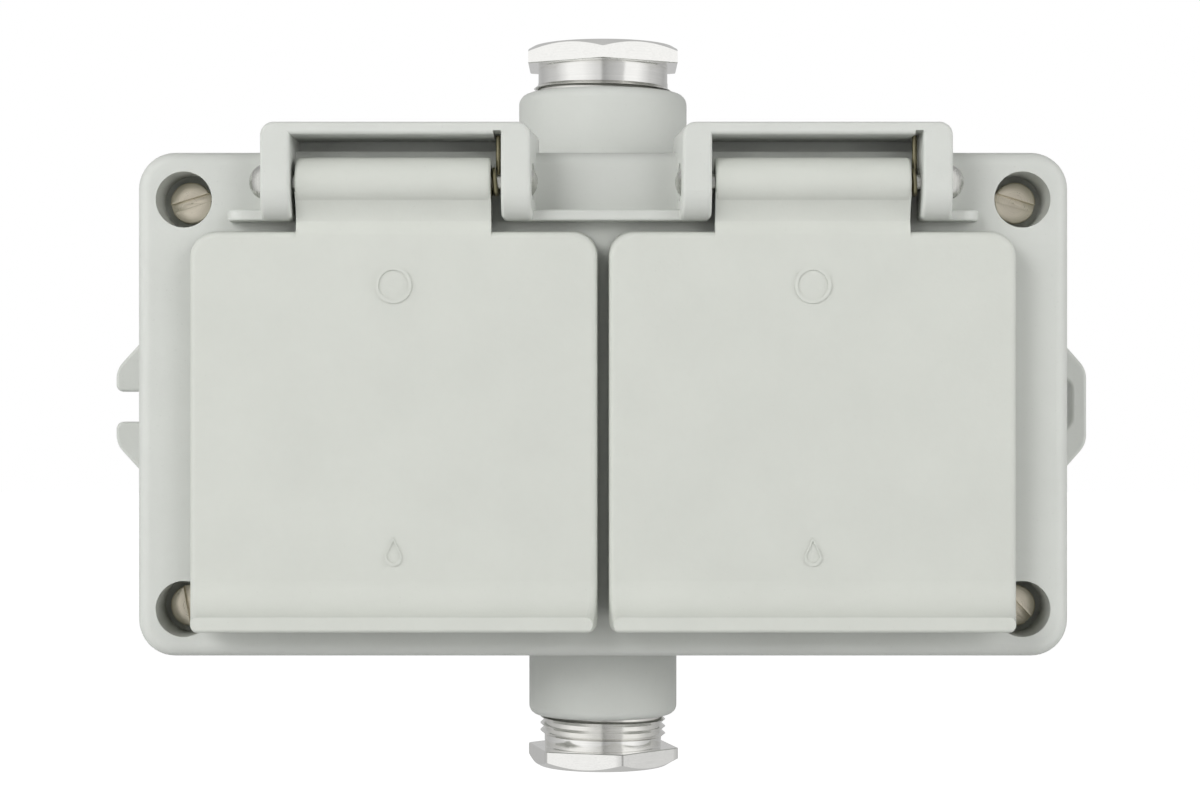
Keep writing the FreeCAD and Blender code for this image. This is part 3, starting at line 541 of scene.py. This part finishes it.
def wire_along_path(name):
    """Round wire along a path: one swept circle."""
    tree, given, result = geometry_group(
        name, ("Wire radius", "Float"), ("Sides", "Int"), ("Material", "Material"))
    circle = new_node(tree, "GeometryNodeCurvePrimitiveCircle",
                      {"Radius": given["Wire radius"], "Resolution": given["Sides"]})
    sweep = new_node(tree, "GeometryNodeCurveToMesh", {
        "Curve": given["Geometry"], "Profile Curve": circle.outputs["Curve"],
        "Fill Caps": True})
    return closed(tree, sweep.outputs["Mesh"], given["Material"], result)


def thread_ridge(name):
    """Thread ridge: a sharp-edged bar wound round the Z axis."""
    tree, given, result = geometry_group(
        name, ("Radius", "Float"), ("Ridge size", "Float"), ("Ridge width", "Float"),
        ("Length", "Float"), ("Turns", "Float"), ("Steps a turn", "Int"), ("Start", "Vector"),
        ("Material", "Material"))
    helix = new_node(tree, "GeometryNodeCurveSpiral", {
        "Resolution": given["Steps a turn"], "Rotations": given["Turns"],
        "Start Radius": given["Radius"], "End Radius": given["Radius"],
        "Height": given["Length"]})
    upright = new_node(tree, "GeometryNodeSetCurveNormal", {"Curve": helix.outputs["Curve"]},
                       mode="Z_UP")
    bar = new_node(tree, "GeometryNodeCurvePrimitiveCircle", {"Resolution": 4, "Radius": 1.0})
    spread = new_node(tree, "ShaderNodeCombineXYZ",
                      {"X": given["Ridge size"], "Y": given["Ridge width"]})
    ridge = new_node(tree, "GeometryNodeTransform",
                     {"Geometry": bar.outputs["Curve"], "Scale": spread.outputs[0]})
    sweep = new_node(tree, "GeometryNodeCurveToMesh", {
        "Curve": upright.outputs["Curve"], "Profile Curve": ridge.outputs["Geometry"],
        "Fill Caps": True})
    moved = new_node(tree, "GeometryNodeTransform",
                     {"Geometry": sweep.outputs["Mesh"], "Translation": given["Start"]})
    return closed(tree, moved.outputs["Geometry"], given["Material"], result)


def turned_copies(name):
    """A blank copied to each point and turned by the point's own angle."""
    tree, given, result = geometry_group(name, ("Blank", "Object"), ("Material", "Material"))
    blank = new_node(tree, "GeometryNodeObjectInfo", {"Object": given["Blank"]})
    turn = new_node(tree, "GeometryNodeInputNamedAttribute", {"Name": "turn"},
                    data_type="FLOAT")
    spin = new_node(tree, "ShaderNodeCombineXYZ", {"Y": turn.outputs["Attribute"]})
    points = new_node(tree, "GeometryNodeMeshToPoints", {"Mesh": given["Geometry"]})
    copies = new_node(tree, "GeometryNodeInstanceOnPoints", {
        "Points": points.outputs["Points"], "Instance": blank.outputs["Geometry"],
        "Rotation": spin.outputs[0]})
    return closed(tree, copies.outputs["Instances"], given["Material"], result)


def run_tree(source, build, values, name):
    """Applies a tree to an object, with its inputs set by their sockets' identifiers."""
    tree = built_once(build)
    modifier = source.modifiers.new(name, "NODES")
    modifier.node_group = tree
    for item in tree.interface.items_tree:
        if item.in_out == "INPUT" and item.name in values:
            modifier[item.identifier] = values[item.name]
    return solid_copy(source, name)


# Operators


class SOCKET_OT_finishes(bpy.types.Operator):
    """Make every material of the socket"""
    bl_idname = "socket.finishes"
    bl_label = "Make Finishes"

    # Colour, axis of the tool marks, marks a metre, roughness and depth of the marks
    metals = {
        "turned_alloy": ("gland", about_gland, 9000.0, 0.13, 0.004 * MM),
        "screw_nickel": ("nickel", about_cover_screws, 7000.0, 0.30, 0.008 * MM),
        "riveted_steel": ("pin", about_hinge, 6000.0, 0.26, 0.01 * MM),
        "spring_steel": ("spring", about_hinge, 1500.0, 0.30, 0.01 * MM),
        "zinc_plate": ("zinc", object_vector, 1200.0, 0.28, 0.01 * MM),
        "plain_brass": ("brass", object_vector, 900.0, 0.28, 0.01 * MM),
    }
    # Colour, grains a metre, roughness and depth of the grain
    mouldings = {
        "pot_moulding": ("pot", 1700.0, 0.34, 0.015 * MM),
        "carrier_moulding": ("carrier", 1400.0, 0.5, 0.02 * MM),
        "black_rubber": ("rubber", 2400.0, 0.62, 0.02 * MM),
    }

    def execute(self, context):
        colours = context.scene.socket_colours
        sizes = context.scene.socket_sizes
        painted("housing_powder_coat", colours.paint, sizes)
        painted("lid_powder_coat", colours.lid_paint, sizes)
        for name, (tone, vector_of, rings, roughness, depth) in self.metals.items():
            bright(name, getattr(colours, tone), vector_of, rings, roughness, depth)
        for name, (tone, grain, roughness, depth) in self.mouldings.items():
            cast_in_mould(name, getattr(colours, tone), grain, roughness, depth)
        return {"FINISHED"}


class SOCKET_OT_housing(bpy.types.Operator):
    """Finish the base, the cover, their gasket and the earth screw"""
    bl_idname = "socket.housing"
    bl_label = "Finish Housing"

    def execute(self, context):
        for name in ("base_box", "cover"):
            set_material(name, material_of("housing_powder_coat"))
        set_material("cover_gasket", material_of("black_rubber"))
        set_material("earth_screw", material_of("zinc_plate"))
        return {"FINISHED"}


def drop_outline(height, steps):
    """Points of a plain drop with its tip up, centred on its height."""
    round_share = 0.3
    radius = height * round_share
    centre = -height / 2 + radius
    lean = math.asin(radius / (height - radius))
    points = [(0.0, height / 2)]
    for step in range(steps + 1):
        angle = lean - (math.pi + 2 * lean) * step / steps
        points.append((radius * math.cos(angle), centre + radius * math.sin(angle)))
    return points


def ring_outline(width, steps):
    """Points of a circle."""
    return [(width / 2 * math.cos(math.tau * step / steps),
             width / 2 * math.sin(math.tau * step / steps)) for step in range(steps)]


class SOCKET_OT_lids(bpy.types.Operator):
    """Finish the lids and their seals, and add each lid's cast marks and arm rise"""
    bl_idname = "socket.lids"
    bl_label = "Finish Lids"

    def execute(self, context):
        sizes = context.scene.socket_sizes
        for side in SIDES:
            set_material(side + "_lid", material_of("lid_powder_coat"))
            set_material(side + "_lid_seal", material_of("black_rubber"))
            low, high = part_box(side + "_lid_seal")
            middle = (low.x + high.x) / 2
            face = low.y - sizes.lid_wall
            self.cast(sizes, side, "drop", drop_outline(sizes.drop_height, steps=22),
                      sizes.drop_height, Vector((middle, face, low.z + sizes.drop_rise)))
            self.cast(sizes, side, "ring", ring_outline(sizes.ring_size, steps=40),
                      sizes.ring_size, Vector((middle, face, high.z - sizes.ring_drop)))
            self.soften(sizes, side, face)
        return {"FINISHED"}

    def soften(self, sizes, side, face):
        """Smooth rise from the hinge arm up onto the lid's face."""
        hinge = hinge_point(side)
        start = hinge.z - sizes.arm_length - sizes.arm_lead
        foot = start - sizes.arm_lead
        front = face - sizes.arm_skin
        left = hinge.x - sizes.arm_width / 2
        steps = 24
        points = [(front, foot)]
        for step in range(steps + 1):
            share = step / steps
            dip = sizes.arm_dip * share * share * (3 - 2 * share)
            points.append((front + dip, start + sizes.arm_rise * share))
        rear = face + 2 * sizes.arm_dip
        points += [(rear, start + sizes.arm_rise), (rear, foot)]

        def build(work):
            side_face = work.faces.new([work.verts.new((left, y, z)) for y, z in points])
            grown = bmesh.ops.extrude_face_region(work, geom=[side_face])["geom"]
            bmesh.ops.translate(work, vec=(sizes.arm_width, 0.0, 0.0),
                                verts=[part for part in grown
                                       if isinstance(part, bmesh.types.BMVert)])

        made = object_from(side + "_lid_arm_blend", build)
        made.data.materials.append(material_of("lid_powder_coat"))
        finish_piece(made, side + "_lid", "lid_paint", smooth=25.0)

    def cast(self, sizes, side, mark, outer, size, centre):
        """Raised line round an outline on the lid's face."""
        scale = 1 - 2 * sizes.mark_line / size
        inner = [(x * scale, z * scale) for x, z in outer]
        sunk = -sizes.mark_relief / 2

        def build(work):
            levels = []
            for ring, out in ((outer, sunk), (outer, sizes.mark_relief),
                              (inner, sizes.mark_relief), (inner, sunk)):
                levels.append([work.verts.new(centre + Vector((x, -out, z))) for x, z in ring])
            stitch(work, levels)

        made = object_from(side + "_lid_" + mark, build)
        made.data.materials.append(material_of("lid_powder_coat"))
        finish_piece(made, side + "_lid", "lid_paint", smooth=25.0)


def gland_body(work, sizes, lengths, radii, hex_turn):
    """Shank, neck and chamfered hexagon head along +Z, with the bore open at both ends."""
    low, neck, head, high = lengths
    root, waist, apothem, bore = radii
    edge = sizes.hex_round
    flats = 6
    chamfer_start = apothem - sizes.hex_chamfer
    chamfer_slope = math.tan(math.radians(30))
    steps = 120
    rings = []
    for step in range(steps):
        angle = math.tau * step / steps
        local = (angle - hex_turn) % (math.tau / flats) - math.pi / flats
        reach = apothem / math.cos(local)
        profile = [
            (bore, low), (root, low), (root, neck), (waist, neck + edge), (waist, head - edge),
            (waist + edge, head), (reach - edge, head), (reach, head + edge),
            (reach, high - (reach - chamfer_start) * chamfer_slope), (chamfer_start, high),
            (bore + 2 * edge, high), (bore, high - 2 * edge),
        ]
        rings.append([work.verts.new((r * math.cos(angle), r * math.sin(angle), z))
                      for r, z in profile])
    stitch(work, rings)


class SOCKET_OT_glands(bpy.types.Operator):
    """Turn the threaded gland screws and finish their washers and seals"""
    bl_idname = "socket.glands"
    bl_label = "Make Glands"

    def execute(self, context):
        self.make(context.scene.socket_sizes, "top", 1)
        self.make(context.scene.socket_sizes, "bottom", -1)
        return {"FINISHED"}

    def make(self, sizes, which, way):
        def size(part):
            return getattr(sizes, which + "_" + part)

        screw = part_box(which + "_gland_screw")
        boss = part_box("base_box")
        start, boss_end, end = sorted(way * point.z for point in (*screw, boss[(way + 1) // 2]))
        neck = boss_end + size("thread_shown")
        head = neck + size("neck")
        crest = node_size(which + "_gland_washer").x / 2 + sizes.thread_gap
        body = object_from(which + "_gland_blank", lambda work: gland_body(
            work, sizes, (start, neck, head, end),
            (crest - sizes.thread_height, crest - sizes.neck_drop, size("flats") / 2,
             size("hole") / 2), way * size("turn") - math.pi / 2))
        body.data.materials.append(material_of("turned_alloy"))
        holder = linked(which + "_thread_holder", bpy.data.meshes.new("holder"))
        half = sizes.thread_pitch / 2
        wound = neck - start - 2 * half
        ridge = run_tree(holder, thread_ridge, {
            "Radius": crest - sizes.thread_height, "Ridge size": sizes.thread_height,
            "Ridge width": half, "Length": wound, "Turns": wound / sizes.thread_pitch,
            "Steps a turn": 72, "Start": (0.0, 0.0, start + half),
            "Material": material_of("turned_alloy"),
        }, which + "_thread")
        made = joined(which + "_gland_screw_turned", body, ridge)
        centre = node_centre(which + "_gland_washer")
        place = Matrix.Translation((centre.x, centre.y, 0.0))
        if way < 0:
            place = place @ Matrix.Rotation(math.pi, 4, "Y")
        made.data.transform(place)
        finish_piece(made, "root", "gland_metal", which + "_gland_screw", smooth=30.0)
        set_material(which + "_gland_washer", material_of("zinc_plate"))
        set_material(which + "_gland_seal", material_of("black_rubber"))


def screw_places(sizes):
    """Centres of the four cover screws' seats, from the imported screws' own boxes."""
    low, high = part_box("cover_screws")
    inset = sizes.screw_head
    seat = low.y + sizes.screw_head_height
    return [Vector((x, seat, z)) for z in (high.z - inset, low.z + inset)
            for x in (low.x + inset, high.x - inset)]


class SOCKET_OT_screws(bpy.types.Operator):
    """Place the four slotted cover screws"""
    bl_idname = "socket.screws"
    bl_label = "Make Cover Screws"

    # Each slot's turn in degrees, from the top left screw to the bottom right one
    turns = (17.6, -17.0, -79.5, -47.0)

    def execute(self, context):
        sizes = context.scene.socket_sizes
        blank = self.blank(sizes)
        seats = object_from("screw_seats", lambda work: [work.verts.new(p)
                                                         for p in screw_places(sizes)])
        turn = seats.data.attributes.new("turn", "FLOAT", "POINT")
        turn.data.foreach_set("value", [-math.radians(angle) for angle in self.turns])
        screws = run_tree(seats, turned_copies, {
            "Blank": blank, "Material": material_of("screw_nickel")}, "cover_screws_slotted")
        bpy.data.objects.remove(blank)
        finish_piece(screws, "root", "nickel_steel", "cover_screws", smooth=30.0)
        return {"FINISHED"}

    def blank(self, sizes):
        """One screw at the origin, with its head to the front."""
        length_in = node_size("cover_screws").y - sizes.screw_head_height
        head = sizes.screw_head
        top = sizes.screw_head_height
        edge = sizes.screw_edge
        core = 0.05 * MM
        cutter_height = 4 * MM
        # Half of the screw's section, from its tip to its head, round a hair-thin hole
        profile = [(core, -length_in), (sizes.screw_shank - edge, -length_in),
                   (sizes.screw_shank, -length_in + edge), (sizes.screw_shank, 0.0),
                   (head - edge / 2, 0.0), (head, edge / 2), (head, top - edge),
                   (head - edge * 0.3, top - edge * 0.3), (head - edge, top), (core, top)]
        body = object_from("screw_body", lambda work: lathe(work, profile, steps=48))
        cutter = object_from("slot_cutter", lambda work: bmesh.ops.create_cube(work, size=1.0))
        floor = top - sizes.screw_slot_depth
        cutter.data.transform(
            Matrix.Translation((0.0, 0.0, floor + cutter_height / 2))
            @ Matrix.Diagonal((8 * head, sizes.screw_slot, cutter_height, 1.0)))
        cut = body.modifiers.new("slot", "BOOLEAN")
        cut.operation = "DIFFERENCE"
        cut.object = cutter
        cut.solver = "EXACT"
        soft = body.modifiers.new("edges", "BEVEL")
        soft.width = edge * 0.4
        soft.segments = 2
        soft.limit_method = "ANGLE"
        soft.angle_limit = math.radians(40)
        body = solid_copy(body, "screw_blank")
        bpy.data.objects.remove(cutter)
        body.data.transform(Matrix.Rotation(math.pi / 2, 4, "X"))
        return body


class SOCKET_OT_hinges(bpy.types.Operator):
    """Finish the hinge pins and wind the hinge springs"""
    bl_idname = "socket.hinges"
    bl_label = "Make Hinges"

    def execute(self, context):
        sizes = context.scene.socket_sizes
        for side in SIDES:
            set_material(side + "_hinge_pin", material_of("riveted_steel"))
            self.wind(sizes, side)
        return {"FINISHED"}

    def wind(self, sizes, side):
        """Spring wire from the leg in the hood down and round the pin."""
        low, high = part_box(side + "_hinge_spring")
        axis = hinge_point(side)
        start_x = high.x - sizes.spring_wire
        radius = sizes.spring_radius
        steps = 28
        rear = axis.y + radius
        points = [Vector((start_x, rear, high.z)), Vector((start_x, rear, (high.z + axis.z) / 2))]
        for step in range(sizes.spring_turns * steps + 1):
            angle = math.tau * step / steps
            points.append(Vector((start_x - sizes.spring_pitch * step / steps,
                                  axis.y + radius * math.cos(angle),
                                  axis.z - radius * math.sin(angle))))
        curve = bpy.data.curves.new(side + "_spring_path", "CURVE")
        curve.dimensions = "3D"
        spline = curve.splines.new("POLY")
        spline.points.add(len(points) - 1)
        for target, point in zip(spline.points, points):
            target.co = (*point, 1.0)
        path = linked(side + "_spring_path", curve)
        spring = run_tree(path, wire_along_path, {
            "Wire radius": sizes.spring_wire, "Sides": 14,
            "Material": material_of("spring_steel")}, side + "_hinge_spring_wound")
        shade_smooth(spring, 40.0)
        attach(spring, "root")
        spring.parent = None
        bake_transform(spring)
        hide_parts(side + "_hinge_spring")


class SOCKET_OT_sockets(bpy.types.Operator):
    """Finish the plug recesses and what lies behind them"""
    bl_idname = "socket.sockets"
    bl_label = "Finish Sockets"

    looks = {
        "socket_pot": "pot_moulding", "pot_seal": "black_rubber", "pot_screws": "zinc_plate",
        "contact_carrier": "carrier_moulding", "carrier_screw": "zinc_plate",
        "line_contact": "plain_brass", "neutral_contact": "plain_brass",
        "earth_contact": "plain_brass", "terminal_screws": "zinc_plate",
    }

    def execute(self, context):
        for side in SIDES:
            for part, look in self.looks.items():
                set_material(side + "_" + part, material_of(look))
        return {"FINISHED"}


class SOCKET_OT_stage(bpy.types.Operator):
    """Set the camera, the pale floor and the soft studio light"""
    bl_idname = "socket.stage"
    bl_label = "Set Stage"

    # Each soft light's way from the socket, in degrees to the right and up
    lights = {
        "upper_left": (-35, 25), "upper_right": (35, 25), "side_left": (-70, 10),
        "side_right": (70, 10), "front_left": (-30, 8), "front_right": (30, 8),
        "rear": (180, 25),
    }
    # Brightness of the room as bright metal mirrors it, by degrees to the right
    room = (
        (-180, 0.55), (-140, 0.45), (-95, 0.62), (-65, 1.00), (-38, 1.00), (-14, 0.76),
        (-3, 0.70), (-1, 0.34), (12, 0.48), (38, 0.62), (41, 1.00), (66, 1.00), (95, 0.62),
        (140, 0.42), (180, 0.55),
    )

    def execute(self, context):
        stage = context.scene.socket_stage
        self.set_camera(context.scene, stage)
        self.set_floor(stage)
        self.set_room(context.scene, stage)
        for name, (azimuth, elevation) in self.lights.items():
            self.add_light(name, stage, azimuth, elevation)
        context.scene.view_settings.view_transform = "Standard"
        return {"FINISHED"}

    def set_camera(self, scene, stage):
        data = bpy.data.cameras.new("camera")
        data.lens = stage.lens
        data.sensor_width = 36.0
        data.clip_start = 0.01
        camera = linked("camera", data)
        camera.location = (stage.camera_right, -stage.camera_distance, stage.camera_up)
        camera.rotation_euler = (math.radians(90), 0.0, 0.0)
        scene.camera = camera

    def add_light(self, name, stage, azimuth, elevation):
        """Soft disk light that points at the socket and isn't mirrored by it."""
        data = bpy.data.lights.new(name, "AREA")
        data.shape = "DISK"
        data.size = stage.light_size
        data.energy = getattr(stage, name)
        light = linked(name, data)
        right, up = math.radians(azimuth), math.radians(elevation)
        way = Vector((math.sin(right) * math.cos(up), -math.cos(right) * math.cos(up),
                      math.sin(up)))
        light.location = way * stage.light_distance
        light.rotation_mode = "QUATERNION"
        light.rotation_quaternion = (-way).to_track_quat("-Z", "Y")
        light.visible_glossy = False

    def set_floor(self, stage):
        level = CAD_BOX[0].z - stage.floor_drop
        floor = object_from("floor", lambda work: bmesh.ops.create_grid(
            work, x_segments=1, y_segments=1, size=stage.floor_size))
        floor.data.transform(Matrix.Translation((0.0, 0.0, level)))
        tree, shader = start_material("floor_white")
        path = new_node(tree, "ShaderNodeLightPath").outputs
        feed(tree, shader, {
            "Base Color": rgba((stage.floor_tone,) * 3), "Roughness": 0.9,
            "Emission Color": WHITE,
            "Emission Strength": maths(tree, "MULTIPLY", path["Is Camera Ray"],
                                       stage.floor_glow),
        })
        floor.data.materials.append(material_of("floor_white"))
        floor.visible_glossy = False

    def set_room(self, scene, stage):
        """White to the camera, banded to mirroring metal and dim to everything else."""
        world = bpy.data.worlds.new("pale_room")
        world.use_nodes = True
        scene.world = world
        tree = world.node_tree
        way = new_node(tree, "ShaderNodeTexCoord").outputs["Generated"]
        across, back, _ = new_node(tree, "ShaderNodeSeparateXYZ", {0: way}).outputs
        azimuth = maths(tree, "ARCTAN2", across, maths(tree, "MULTIPLY", back, -1.0))
        share = maths(tree, "ADD", maths(tree, "MULTIPLY", azimuth, 1 / math.tau), 0.5)
        bands = new_node(tree, "ShaderNodeValToRGB", {"Fac": share})
        stops = bands.color_ramp.elements
        for degrees, _ in self.room[1:-1]:
            stops.new(degrees / 360 + 0.5)
        for stop, (_, level) in zip(stops, self.room):
            stop.color = rgba((level,) * 3)
        path = new_node(tree, "ShaderNodeLightPath").outputs
        white = maths(tree, "MAXIMUM", path["Is Camera Ray"], path["Is Transmission Ray"])
        mirrored = maths(tree, "MULTIPLY", path["Is Glossy Ray"], bands.outputs["Color"])
        seen = maths(tree, "MAXIMUM", white, mirrored)
        strength = maths(tree, "MAXIMUM", seen, stage.room_light)
        feed(tree, tree.nodes["Background"], {"Strength": strength, "Color": WHITE})


class SOCKET_PT_panel(bpy.types.Panel):
    """Lists the steps and the values of the socket"""
    bl_idname = "SOCKET_PT_panel"
    bl_label = "Weatherproof Socket"
    bl_space_type = "VIEW_3D"
    bl_region_type = "UI"
    bl_category = "Weatherproof Socket"

    def draw(self, context):
        for operator in OPERATORS:
            self.layout.operator(operator.bl_idname)
        for group in (context.scene.socket_sizes, context.scene.socket_colours,
                      context.scene.socket_stage):
            box = self.layout.box()
            for name in group.__annotations__:
                box.prop(group, name)


OPERATORS = (
    SOCKET_OT_finishes, SOCKET_OT_stage, SOCKET_OT_housing, SOCKET_OT_lids, SOCKET_OT_glands,
    SOCKET_OT_screws, SOCKET_OT_hinges, SOCKET_OT_sockets,
)
GROUPS = {"socket_sizes": SocketSizes, "socket_colours": SocketColours,
          "socket_stage": SocketStage}


def register():
    for name, group in GROUPS.items():
        bpy.utils.register_class(group)
        setattr(bpy.types.Scene, name, PointerProperty(type=group))
    for operator in OPERATORS:
        bpy.utils.register_class(operator)
    bpy.utils.register_class(SOCKET_PT_panel)


def unregister():
    bpy.utils.unregister_class(SOCKET_PT_panel)
    for operator in reversed(OPERATORS):
        bpy.utils.unregister_class(operator)
    for name, group in reversed(GROUPS.items()):
        delattr(bpy.types.Scene, name)
        bpy.utils.unregister_class(group)


def main():
    register()
    for operator in OPERATORS:
        group, step = operator.bl_idname.split(".")
        getattr(getattr(bpy.ops, group), step)()


if __name__ == "__main__":
    main()
